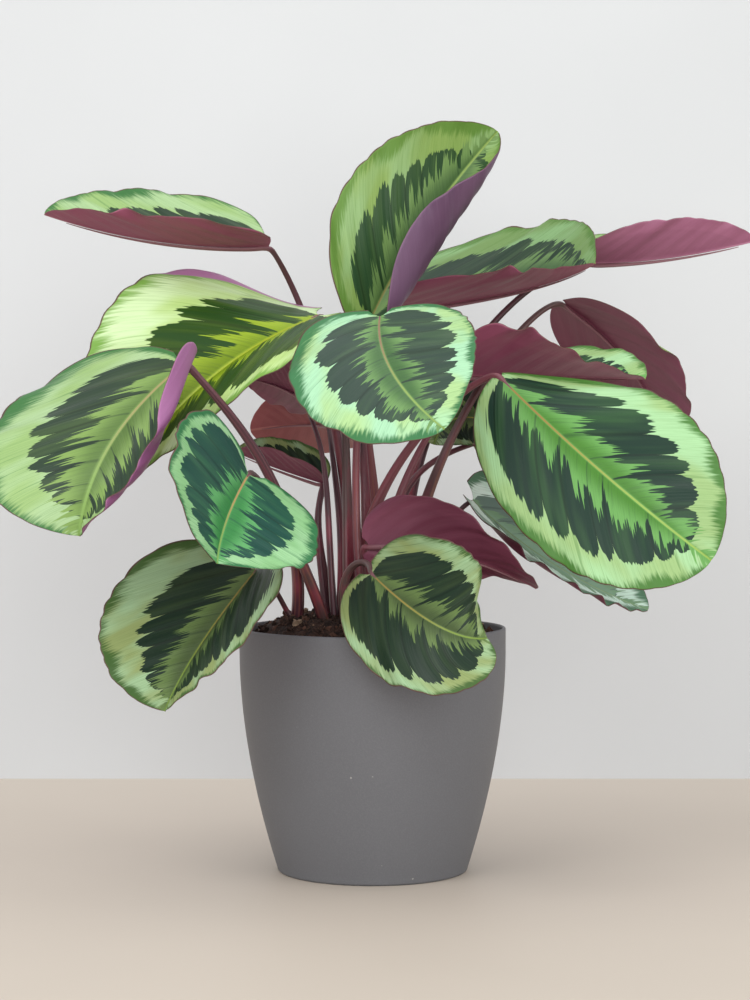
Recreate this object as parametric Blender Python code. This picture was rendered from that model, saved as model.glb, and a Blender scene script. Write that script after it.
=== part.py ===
"""Potted calathea: a round planter with its soil, and nineteen leaves on stalks.

Metres, +Z up.  The origin is the centre of the planter's flat base and the plant's
front looks along -Y.  Every blade is a curved sheet around its midrib, and every
stalk is a tapered tube from the soil to the base of its blade.
"""
import math
from dataclasses import dataclass

import bmesh
import bpy
import numpy as np
from mathutils import Vector

# planter
POT_HEIGHT = 0.202
RIM_RADIUS = 0.1105
BASE_RADIUS = 0.0785
BULGE_HEIGHT = 0.180        # above this the wall stands upright
BULGE_POWER = 1.8           # how fast the wall curves in below it
WALL = 0.0028
FLOOR = 0.0045
FOOT_ROUND = 0.0020
RIM_ROUND = 0.0008          # chamfer along both edges of the rim
FLOOR_ROUND = 0.0010        # the same between the wall and the floor inside
POT_SEGMENTS = 40
SHARP_ANGLE = math.radians(40)
WALL_STEPS = 6
WALL_FOOT = 0.014           # first ring of the wall above the rounded foot

# soil
GAP = 0.0003                # clearance between neighbouring solids
SOIL_EDGE = 0.188           # height of the soil along the wall
CROWN_HEIGHT = 0.2125       # flat top of the mound that carries the stalks
CROWN_RADIUS = 0.074

# leaves
BLADE_THICKNESS = 0.0012
BLADE_ROWS = 10             # along the midrib
BLADE_COLUMNS = 4           # on each side of the midrib
CURLED_COLUMNS = 6          # the same on a blade that folds over
FOLD_ANGLE = 60.0           # degrees of curl that count as folding over
JOINT_GAP = 0.0011          # between the end of a stalk and its blade
BASE_BLUNTNESS = 2.3        # exponent of the outline's base half
TIP_SHARPNESS = 1.75        # exponent of its tip half
FIRST_ROW = 0.006           # shares of the length where the first and the last row lie
LAST_ROW = 0.996
EVEN_CURL = 0.35            # share of the curl that stays where the blade narrows
STALK_STEPS = 9
STALK_SIDES = 2             # bevel resolution, eight sides

GREEN = (0.115, 0.235, 0.110)
MAROON = (0.110, 0.030, 0.042)
GREY = (0.185, 0.183, 0.180)
BROWN = (0.040, 0.022, 0.016)


@dataclass
class Leaf:
    """One leaf.  Left and right are as seen from the upper side, base to tip."""
    name: str
    base: tuple             # where the midrib starts
    middle: tuple           # a point halfway along it
    tip: tuple
    face: tuple             # the way the upper side looks
    halves: tuple           # half widths, left and right
    lift: tuple             # degrees that each half rises beside the midrib
    curl: tuple             # further degrees that it turns up by the margin
    foot: tuple             # where the stalk leaves the soil
    rise: tuple             # the stalk's guide point above the foot
    reach: tuple            # its guide point before the blade
    stalk: tuple = (0.0046, 0.0021)     # radius at the foot and at the blade
    belly: float = 0.44     # where the blade is widest, as a share of its length
    lobe: float = 0.06      # how far the base's corners hang back, the same way


LEAVES = [
    Leaf("high_left", base=(-0.088, 0.052, 0.522), middle=(-0.181, 0.027, 0.524),
         tip=(-0.272, 0.001, 0.544), face=(0.05, -0.15, 1), halves=(0.048, 0.060),
         lift=(25, 35), curl=(10, 15),
         foot=(-0.014, 0.050), rise=(-0.020, 0.059, 0.375), reach=(-0.062, 0.144, 0.487),
         stalk=(0.0046, 0.0021), belly=0.44, lobe=0.0),
    Leaf("wide_left", base=(-0.045, 0.031, 0.462), middle=(-0.134, -0.004, 0.408),
         tip=(-0.205, -0.032, 0.324), face=(-0.1, -0.9, 0.45), halves=(0.076, 0.108),
         lift=(45, (-37, 12, 5)), curl=(-5, (-38, 0, -15)),
         foot=(-0.018, 0.004), rise=(-0.024, 0.001, 0.333), reach=(-0.018, 0.053, 0.454),
         stalk=(0.0046, 0.0021), belly=0.41, lobe=0.06),
    Leaf("front_left", base=(-0.147, -0.094, 0.418), middle=(-0.202, -0.133, 0.355),
         tip=(-0.225, -0.146, 0.283), face=(-0.1, -0.75, 0.65), halves=(0.074, 0.134),
         lift=((24, -32, 56), (-15, -13, 15)), curl=((150, 134, 65), (-5, -12, -5)),
         foot=(-0.062, -0.005), rise=(-0.050, -0.040, 0.321), reach=(-0.128, -0.082, 0.393),
         stalk=(0.0060, 0.0026), belly=0.45, lobe=0.04),
    Leaf("crown_top", base=(-0.002, 0.047, 0.459), middle=(0.044, 0.068, 0.541),
         tip=(0.106, 0.050, 0.619), face=(0.05, -1, 0.1), halves=(0.077, 0.086),
         lift=((42, 15, 25), (20, 15, 20)), curl=(5, (150, 160, 135)),
         foot=(-0.004, 0.016), rise=(-0.001, 0.022, 0.338), reach=(-0.021, 0.033, 0.411),
         stalk=(0.0046, 0.0021), belly=0.47, lobe=0.09),
    Leaf("upper_right", base=(0.010, 0.129, 0.470), middle=(0.128, 0.114, 0.488),
         tip=(0.191, 0.072, 0.509), face=(-0.55, -0.15, 0.8), halves=(0.086, 0.063),
         lift=(35, 25), curl=(-15, 15),
         foot=(0.003, 0.030), rise=(0.012, 0.040, 0.342), reach=(-0.031, 0.100, 0.428),
         stalk=(0.0046, 0.0021), belly=0.44, lobe=0.07),
    Leaf("high_right", base=(0.189, 0.140, 0.514), middle=(0.262, 0.130, 0.518),
         tip=(0.335, 0.110, 0.531), face=(0, -0.15, 1), halves=(0.049, 0.039),
         lift=((45, 12, 15), (40, 60, 70)), curl=(5, 10),
         foot=(0.028, 0.048), rise=(0.012, 0.088, 0.365), reach=(0.115, 0.197, 0.503),
         stalk=(0.0046, 0.0021), belly=0.43, lobe=0.06),
    Leaf("mid_right", base=(0.077, 0.025, 0.411), middle=(0.153, 0.027, 0.410),
         tip=(0.226, -0.003, 0.408), face=(-0.55, -0.1, 0.8), halves=(0.060, 0.079),
         lift=(20, 35), curl=(-15, 5),
         foot=(0.010, 0.008), rise=(0.0, 0.010, 0.308), reach=(0.055, 0.022, 0.371),
         stalk=(0.0046, 0.0021), belly=0.38, lobe=0.08),
    Leaf("back_right", base=(0.171, 0.144, 0.477), middle=(0.234, 0.164, 0.420),
         tip=(0.264, 0.166, 0.347), face=(0.65, 0.6, 0.45), halves=(0.068, 0.073),
         lift=(15, -10), curl=(-25, -10),
         foot=(0.025, 0.020), rise=(0.030, 0.055, 0.335), reach=(0.141, 0.134, 0.493),
         stalk=(0.0048, 0.0022), belly=0.53, lobe=0.04),
    Leaf("front_centre", base=(0.006, -0.045, 0.457), middle=(0.015, -0.115, 0.411),
         tip=(0.055, -0.160, 0.365), face=(-0.15, -0.7, 0.7), halves=(0.072, 0.078),
         lift=(10, 10), curl=(0, -15),
         foot=(-0.007, -0.012), rise=(-0.021, -0.010, 0.338), reach=(-0.010, -0.001, 0.440),
         stalk=(0.0046, 0.0021), belly=0.48, lobe=0.07),
    Leaf("front_right", base=(0.103, -0.050, 0.408), middle=(0.179, -0.088, 0.334),
         tip=(0.267, -0.102, 0.262), face=(-0.1, -0.9, 0.45), halves=(0.082, 0.079),
         lift=((-35, 5, 15), 0), curl=((-20, -10, 0), -15),
         foot=(-0.004, 0.002), rise=(-0.036, 0.004, 0.308), reach=(0.082, -0.029, 0.418),
         stalk=(0.0050, 0.0026), belly=0.55, lobe=0.02),
    Leaf("low_right", base=(0.085, 0.050, 0.306), middle=(0.155, 0.059, 0.251),
         tip=(0.235, 0.051, 0.212), face=(0.45, -0.2, 0.85), halves=(0.062, 0.053),
         lift=(25, -10), curl=(10, 30),
         foot=(0.044, 0.014), rise=(0.046, 0.014, 0.256), reach=(0.058, 0.053, 0.288),
         stalk=(0.0036, 0.0018), belly=0.39, lobe=0.07),
    Leaf("inner_left", base=(-0.097, -0.111, 0.330), middle=(-0.111, -0.157, 0.296),
         tip=(-0.117, -0.182, 0.264), face=(0.45, -0.55, 0.7), halves=(0.074, 0.084),
         lift=(0, 40), curl=(5, -5),
         foot=(-0.039, -0.016), rise=(-0.058, -0.031, 0.266), reach=(-0.093, -0.072, 0.338),
         stalk=(0.0060, 0.0024), belly=0.44, lobe=0.07),
    Leaf("low_left", base=(-0.093, -0.063, 0.253), middle=(-0.135, -0.105, 0.196),
         tip=(-0.160, -0.143, 0.148), face=(-0.4, -0.75, 0.5), halves=(0.066, 0.086),
         lift=(40, 10), curl=(-30, 30),
         foot=(-0.066, -0.014), rise=(-0.077, -0.008, 0.225), reach=(-0.081, -0.045, 0.245),
         stalk=(0.0026, 0.0018), belly=0.45, lobe=0.06),
    Leaf("low_centre", base=(-0.001, -0.086, 0.251), middle=(0.048, -0.152, 0.216),
         tip=(0.088, -0.151, 0.205), face=(-0.2, -0.8, 0.55), halves=(0.063, 0.059),
         lift=(25, 0), curl=(20, 0),
         foot=(-0.021, -0.036), rise=(-0.033, -0.042, 0.262), reach=(0.0, -0.053, 0.266),
         stalk=(0.0040, 0.0022), belly=0.50, lobe=0.07),
    Leaf("under_right", base=(-0.003, -0.030, 0.269), middle=(0.066, -0.045, 0.264),
         tip=(0.134, -0.035, 0.236), face=(0.95, 0.3, 0.05), halves=(0.029, 0.046),
         lift=(0, 5), curl=(-5, -5),
         foot=(-0.005, -0.022), rise=(0.010, -0.015, 0.249), reach=(-0.017, -0.025, 0.272),
         stalk=(0.0040, 0.0022), belly=0.43, lobe=0.04),
    Leaf("back_left", base=(-0.038, 0.100, 0.370), middle=(-0.065, 0.132, 0.371),
         tip=(-0.109, 0.144, 0.366), face=(0.1, 0.8, 0.6), halves=(0.037, 0.045),
         lift=(10, 5), curl=(15, 20),
         foot=(-0.026, 0.030), rise=(-0.023, 0.041, 0.281), reach=(-0.034, 0.056, 0.333),
         stalk=(0.0040, 0.0020), belly=0.42, lobe=0.07),
    Leaf("slim_left", base=(-0.041, 0.040, 0.320), middle=(-0.081, 0.050, 0.333),
         tip=(-0.117, 0.050, 0.347), face=(0, -0.2, 1), halves=(0.026, 0.030),
         lift=(50, 50), curl=(0, 0),
         foot=(-0.036, 0.026), rise=(-0.046, 0.030, 0.273), reach=(-0.050, 0.027, 0.292),
         stalk=(0.0046, 0.0024), belly=0.42, lobe=0.02),
    Leaf("hidden_left", base=(-0.061, 0.040, 0.394), middle=(-0.085, 0.054, 0.405),
         tip=(-0.109, 0.060, 0.410), face=(0, 0.7, 0.7), halves=(0.033, 0.034),
         lift=(10, 10), curl=(0, 0),
         foot=(-0.031, -0.006), rise=(-0.040, -0.004, 0.307), reach=(-0.032, 0.012, 0.344),
         stalk=(0.0036, 0.0018), belly=0.42, lobe=0.07),
    Leaf("back_centre", base=(0.113, 0.106, 0.368), middle=(0.074, 0.099, 0.376),
         tip=(0.053, 0.090, 0.353), face=(0.05, -0.8, 0.6), halves=(0.048, 0.057),
         lift=(10, 10), curl=(0, 0),
         foot=(0.031, 0.038), rise=(-0.021, 0.045, 0.365), reach=(0.113, 0.117, 0.345),
         stalk=(0.0036, 0.0018), belly=0.42, lobe=0.07),
]


def clear_scene():
    """Start from an empty file."""
    for obj in list(bpy.data.objects):
        bpy.data.objects.remove(obj, do_unlink=True)


def make_material(name, colour, roughness):
    """A plain Principled material."""
    material = bpy.data.materials.new(name)
    material.use_nodes = True
    shader = material.node_tree.nodes["Principled BSDF"]
    shader.inputs["Base Color"].default_value = (*colour, 1.0)
    shader.inputs["Roughness"].default_value = roughness
    shader.inputs["Metallic"].default_value = 0.0
    return material


def place(name, data, material, location, parent):
    """Put a mesh or a curve into the scene under its parent."""
    obj = bpy.data.objects.new(name, data)
    data.materials.append(material)
    obj.location = location
    obj.parent = parent
    bpy.context.scene.collection.objects.link(obj)
    return obj


def turned_mesh(name, profile):
    """Spin a profile of (radius, height) points once around Z."""
    bm = bmesh.new()
    verts = [bm.verts.new((radius, 0.0, height)) for radius, height in profile]
    edges = [bm.edges.new(pair) for pair in zip(verts, verts[1:])]
    bmesh.ops.spin(bm, geom=verts + edges, cent=(0, 0, 0), axis=(0, 0, 1),
                   angle=2 * math.pi, steps=POT_SEGMENTS, use_merge=True)
    bmesh.ops.remove_doubles(bm, verts=bm.verts, dist=1e-5)
    bmesh.ops.recalc_face_normals(bm, faces=bm.faces)
    mesh = bpy.data.meshes.new(name)
    bm.to_mesh(mesh)
    bm.free()
    mesh.shade_smooth()
    mesh.set_sharp_from_angle(angle=SHARP_ANGLE)
    return mesh


def outer_radius(height):
    """The planter's outer wall: upright at the rim, curving in towards the base."""
    below = max(0.0, 1.0 - height / BULGE_HEIGHT)
    return RIM_RADIUS - (RIM_RADIUS - BASE_RADIUS) * below ** BULGE_POWER


def wall_heights():
    """Heights of the wall's rings, from the foot to the edge of the soil."""
    return [WALL_FOOT + (SOIL_EDGE - WALL_FOOT) * k / WALL_STEPS for k in range(WALL_STEPS + 1)]


def make_pot(parent):
    """The planter: flat base, rounded foot, thin wall and open top."""
    foot = [(outer_radius(0.0) - FOOT_ROUND * (1 - math.sin(angle)),
             FOOT_ROUND * (1 - math.cos(angle)))
            for angle in (0.0, math.pi / 4, math.pi / 2)]
    heights = wall_heights() + [POT_HEIGHT - RIM_ROUND]
    outside = [(outer_radius(z), z) for z in heights]
    inside = [(outer_radius(z) - WALL, z) for z in reversed(heights)]
    rim = [(RIM_RADIUS - RIM_ROUND, POT_HEIGHT), (RIM_RADIUS - WALL + RIM_ROUND, POT_HEIGHT)]
    floor = [(outer_radius(FLOOR) - WALL - FLOOR_ROUND, FLOOR), (0.0, FLOOR)]
    profile = [(0.0, 0.0)] + foot + outside + rim + inside + floor
    material = make_material("pot_plastic", GREY, 0.55)
    return place("pot", turned_mesh("pot", profile), material, (0, 0, 0), parent)


def make_soil(parent):
    """The soil: it fills the planter and rises to a flat crown under the stalks."""
    low = FLOOR + GAP
    side = [(outer_radius(z) - WALL - GAP, z) for z in wall_heights()]
    corner = (outer_radius(low) - WALL - GAP - FLOOR_ROUND, low)
    profile = [(0.0, low), corner] + side + [(CROWN_RADIUS, CROWN_HEIGHT), (0.0, CROWN_HEIGHT)]
    material = make_material("soil_crumbs", BROWN, 0.95)
    return place("soil", turned_mesh("soil", profile), material, (0, 0, 0), parent)


def unit(vectors):
    """Scale each vector to length one."""
    return vectors / np.linalg.norm(vectors, axis=-1, keepdims=True)


def along(value, t):
    """One number, or three that a parabola joins at the base, the middle and the tip."""
    if isinstance(value, (int, float)):
        return np.full_like(t, float(value))
    base, middle, tip = value
    return base * (1 - t) * (1 - 2 * t) + middle * 4 * t * (1 - t) + tip * t * (2 * t - 1)


def half_outline(t, belly):
    """Share of the full half width along the blade: blunt base, pointed tip."""
    u = 2 * t ** (math.log(0.5) / math.log(belly)) - 1
    base_half = (1 - np.abs(u) ** BASE_BLUNTNESS) ** (1 / BASE_BLUNTNESS)
    tip_half = (1 - u ** 2) ** (1 / TIP_SHARPNESS)
    return np.where(u < 0, base_half, tip_half)


def folds_over(leaf):
    """Whether a half of the blade curls far enough to need more columns."""
    return max(abs(turn) for half in leaf.curl for turn in np.atleast_1d(half)) >= FOLD_ANGLE


def blade_grid(leaf):
    """Rows of points across the blade, from its left margin to its right one."""
    columns = CURLED_COLUMNS if folds_over(leaf) else BLADE_COLUMNS
    t = (1 - np.cos(np.pi * np.arange(BLADE_ROWS + 1) / BLADE_ROWS)) / 2
    t = FIRST_ROW + (LAST_ROW - FIRST_ROW) * t
    base, middle, tip = (np.array(point) for point in (leaf.base, leaf.middle, leaf.tip))
    pull = 2 * middle - (base + tip) / 2
    midrib = np.outer((1 - t) ** 2, base) + np.outer(2 * t * (1 - t), pull) + np.outer(t ** 2, tip)
    forward = unit(np.outer(1 - t, pull - base) + np.outer(t, tip - pull))
    up = np.array(leaf.face, float) - (forward @ np.array(leaf.face))[:, None] * forward
    up = unit(up)
    across = np.cross(forward, up)
    width = half_outline(t, leaf.belly)
    length = np.linalg.norm(np.diff(midrib, axis=0), axis=1).sum()
    grid = np.zeros((len(t), 2 * columns + 1, 3))
    grid[:, columns] = midrib
    for side, sign in ((0, -1), (1, 1)):
        lift = np.radians(along(leaf.lift[side], t))
        curl = np.radians(along(leaf.curl[side], t))
        step = leaf.halves[side] * width / columns
        out = np.zeros((2, len(t)))
        for column in range(1, columns + 1):
            share = (column - 0.5) / columns
            slope = lift + curl * share * (EVEN_CURL + (1 - EVEN_CURL) * width)
            out += np.array([np.cos(slope), np.sin(slope)]) * step
            back = leaf.lobe * length * (column / columns) ** 2 * (1 - t) ** 3
            offset = sign * out[0][:, None] * across + out[1][:, None] * up
            grid[:, columns + sign * column] = midrib + offset - back[:, None] * forward
    return grid


def make_blade(leaf, material, parent):
    """The blade as a thin sheet, thickened evenly on both sides."""
    grid = blade_grid(leaf)
    rows, columns = grid.shape[:2]
    bm = bmesh.new()
    bmesh.ops.create_grid(bm, x_segments=columns - 1, y_segments=rows - 1, size=0.5)
    local = (grid - np.array(leaf.base)).reshape(-1, 3)
    for vert, point in zip(sorted(bm.verts, key=lambda v: (round(v.co.y, 4), v.co.x)), local):
        vert.co = point
    mesh = bpy.data.meshes.new(leaf.name)
    bm.to_mesh(mesh)
    bm.free()
    mesh.shade_smooth()
    blade = place("blade_" + leaf.name, mesh, material, leaf.base, parent)
    skin = blade.modifiers.new("thickness", 'SOLIDIFY')
    skin.thickness = BLADE_THICKNESS
    skin.offset = 0.0
    skin.use_even_offset = False
    return blade


def make_stalk(leaf, material, parent):
    """A tapered round stalk on a Bezier path, from the soil to just short of the blade."""
    grid = blade_grid(leaf)
    start = Vector((*leaf.foot, CROWN_HEIGHT))
    lean = (Vector(leaf.rise) - start).normalized()
    start.z += GAP + leaf.stalk[0] * math.sqrt(1 - lean.z ** 2)
    joint, ahead = (Vector(grid[row, grid.shape[1] // 2]) for row in (0, 1))
    arrival = (joint - Vector(leaf.reach)).normalized()
    in_line = abs(arrival.dot((ahead - joint).normalized()))
    end = joint - arrival * JOINT_GAP * (in_line + math.sqrt(1 - in_line ** 2))
    curve = bpy.data.curves.new("stalk_" + leaf.name, 'CURVE')
    curve.dimensions = '3D'
    curve.resolution_u = STALK_STEPS
    curve.bevel_depth = 1.0
    curve.bevel_resolution = STALK_SIDES
    curve.use_fill_caps = True
    spline = curve.splines.new('BEZIER')
    spline.bezier_points.add(1)
    first, last = spline.bezier_points
    for point, place_at, radius in ((first, start, leaf.stalk[0]), (last, end, leaf.stalk[1])):
        point.handle_left_type = point.handle_right_type = 'FREE'
        point.co = place_at - start
        point.radius = radius
    first.handle_right = Vector(leaf.rise) - start
    first.handle_left = -first.handle_right
    last.handle_left = Vector(leaf.reach) - start
    last.handle_right = 2 * last.co - last.handle_left
    return place("stalk_" + leaf.name, curve, material, start, parent)


def main():
    clear_scene()
    plant = bpy.data.objects.new("plant", None)
    bpy.context.scene.collection.objects.link(plant)
    make_pot(plant)
    make_soil(plant)
    leaf_green = make_material("leaf_green", GREEN, 0.42)
    stalk_maroon = make_material("stalk_maroon", MAROON, 0.45)
    for leaf in LEAVES:
        make_blade(leaf, leaf_green, plant)
        make_stalk(leaf, stalk_maroon, plant)


main()
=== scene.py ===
import math
from dataclasses import dataclass

import bpy
import numpy as np
from bpy.props import FloatProperty, FloatVectorProperty, IntProperty, PointerProperty
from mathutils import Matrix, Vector


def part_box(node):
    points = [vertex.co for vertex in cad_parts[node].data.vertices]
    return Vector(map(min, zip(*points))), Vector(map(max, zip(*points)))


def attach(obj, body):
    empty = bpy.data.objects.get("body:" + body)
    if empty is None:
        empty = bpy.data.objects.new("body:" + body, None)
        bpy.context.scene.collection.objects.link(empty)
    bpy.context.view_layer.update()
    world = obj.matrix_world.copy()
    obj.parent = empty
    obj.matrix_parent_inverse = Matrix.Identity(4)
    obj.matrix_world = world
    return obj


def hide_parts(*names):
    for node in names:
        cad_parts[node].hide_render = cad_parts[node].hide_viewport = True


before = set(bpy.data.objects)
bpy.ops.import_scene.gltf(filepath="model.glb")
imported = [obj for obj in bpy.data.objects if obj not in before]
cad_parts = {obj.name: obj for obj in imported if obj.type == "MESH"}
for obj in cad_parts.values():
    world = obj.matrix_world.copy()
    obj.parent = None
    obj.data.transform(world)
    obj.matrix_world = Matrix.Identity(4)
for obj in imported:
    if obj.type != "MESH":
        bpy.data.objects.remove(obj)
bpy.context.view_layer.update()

bl_info = {
    "name": "Potted calathea",
    "version": (1, 0, 0),
    "blender": (4, 5, 0),
    "location": "View3D > Sidebar > Calathea",
    "description": "Leaves, stalks, soil, planter and stage of a potted calathea",
    "category": "Object",
}

BODY = "root"

POT_LOW, POT_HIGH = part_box("pot")
POT_HEIGHT = POT_HIGH.z
RIM_RADIUS = POT_HIGH.x
BASE_RADIUS = 0.0785
BULGE_HEIGHT = 0.180        # above this the wall stands upright
BULGE_POWER = 1.8           # how fast the wall curves in below it
ROUND_POINTS = 6            # points around the base's edge and over the rim
RIM_POINTS = 9
SOIL_EDGE = 0.188           # height of the soil along the wall
CROWN_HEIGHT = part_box("soil")[1].z
CROWN_RADIUS = 0.074
BED_TONE = (0.2, 0.0, 0.5)  # the bed's "tone": kind of grain, nothing, roughness

BASE_BLUNTNESS = 2.3        # exponent of a blade outline's base half
TIP_SHARPNESS = 1.75        # exponent of its tip half
EVEN_CURL = 0.35            # share of the curl that stays where the blade narrows
FIRST_ROW = 0.0015          # shares of the blade's length where its first and last row lie
LAST_ROW = 0.9985
DARK_START = 0.003          # where the dark lobes start, as a share of the blade's length
DARK_LENGTH = 0.93          # and how much of it they take up
PLUME_START = 0.01          # the same for the feather
PLUME_LENGTH = 0.89
GROOVE_SHARE = 0.035        # half width of the groove along the midrib, as a share

JOINT_BELOW = 0.007         # from the blade down to the thickest place of the stalk's joint
JOINT_LENGTH = 0.006
JOINT_SWELL = 0.16          # how much thicker it is there, as a share
RIB_THICKNESS = 0.85        # the raised midrib where it starts, as a share of the thin end
RIB_END = 0.0003            # its radius at the tip
RIB_FLATNESS = 0.35
RIB_SINK = 0.6              # share of its radius that lies in the blade
CHANNEL_DEPTH = 0.55        # the channel along a stalk's upper side, as a share of its radius
CHANNEL_WIDTH = 0.55        # its half width, in radians
CROWN_MIDDLE = -0.013       # the stalks' channels open towards this place, front to back
CROWN_SPREAD = 0.001        # and this much further right on each one
JOINT_ROUNDS = 4            # smoothing rounds where stem and midrib meet
JOINT_REACH = 6             # rings on each side of it that are smoothed


@dataclass
class Leaf:
    """One leaf, in millimetres and degrees, with the origin under the planter's middle.

    Left and right are as seen from the upper side, base to tip.  A number that bends over
    the blade is given at its base, its middle and its tip.
    """
    name: str
    base: tuple             # where the midrib starts
    middle: tuple           # a point halfway along it
    tip: tuple
    face: tuple             # the way the upper side looks
    halves: tuple           # half widths, left and right
    lift: tuple             # how far each half rises beside the midrib
    curl: tuple             # how much further it turns up by the margin
    foot: tuple             # where the stalk leaves the soil
    rise: tuple             # the stalk's guide point above the foot
    reach: tuple            # its guide point before the blade
    belly: float            # where the blade is widest, as a share of its length
    top: str                # finish of the upper side
    under: str = "maroon"   # finish of the under side
    lobe: float = 0.07      # how far the base's corners hang back, as a share of the length
    frill: float = 4        # height of the waves along each margin
    ripples: int = 3        # number of those waves
    stalk: tuple = (4.6, 2.1)       # radius at the foot and at the blade
    bands: tuple = (0.24, 0.24)     # pale band, left and right, as shares of the half width
    plume: float = 0.22     # half width of the feather, the same way
    lean: float = 0.42      # how far forward a lateral vein ends, as a share of the length
    seed: int = 0           # sets its waves, its pattern and its stalk's hue

    def __post_init__(self):
        for field in ("base", "middle", "tip", "halves", "foot", "rise", "reach", "stalk"):
            setattr(self, field, tuple(value / 1000 for value in getattr(self, field)))
        self.frill /= 1000


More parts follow.
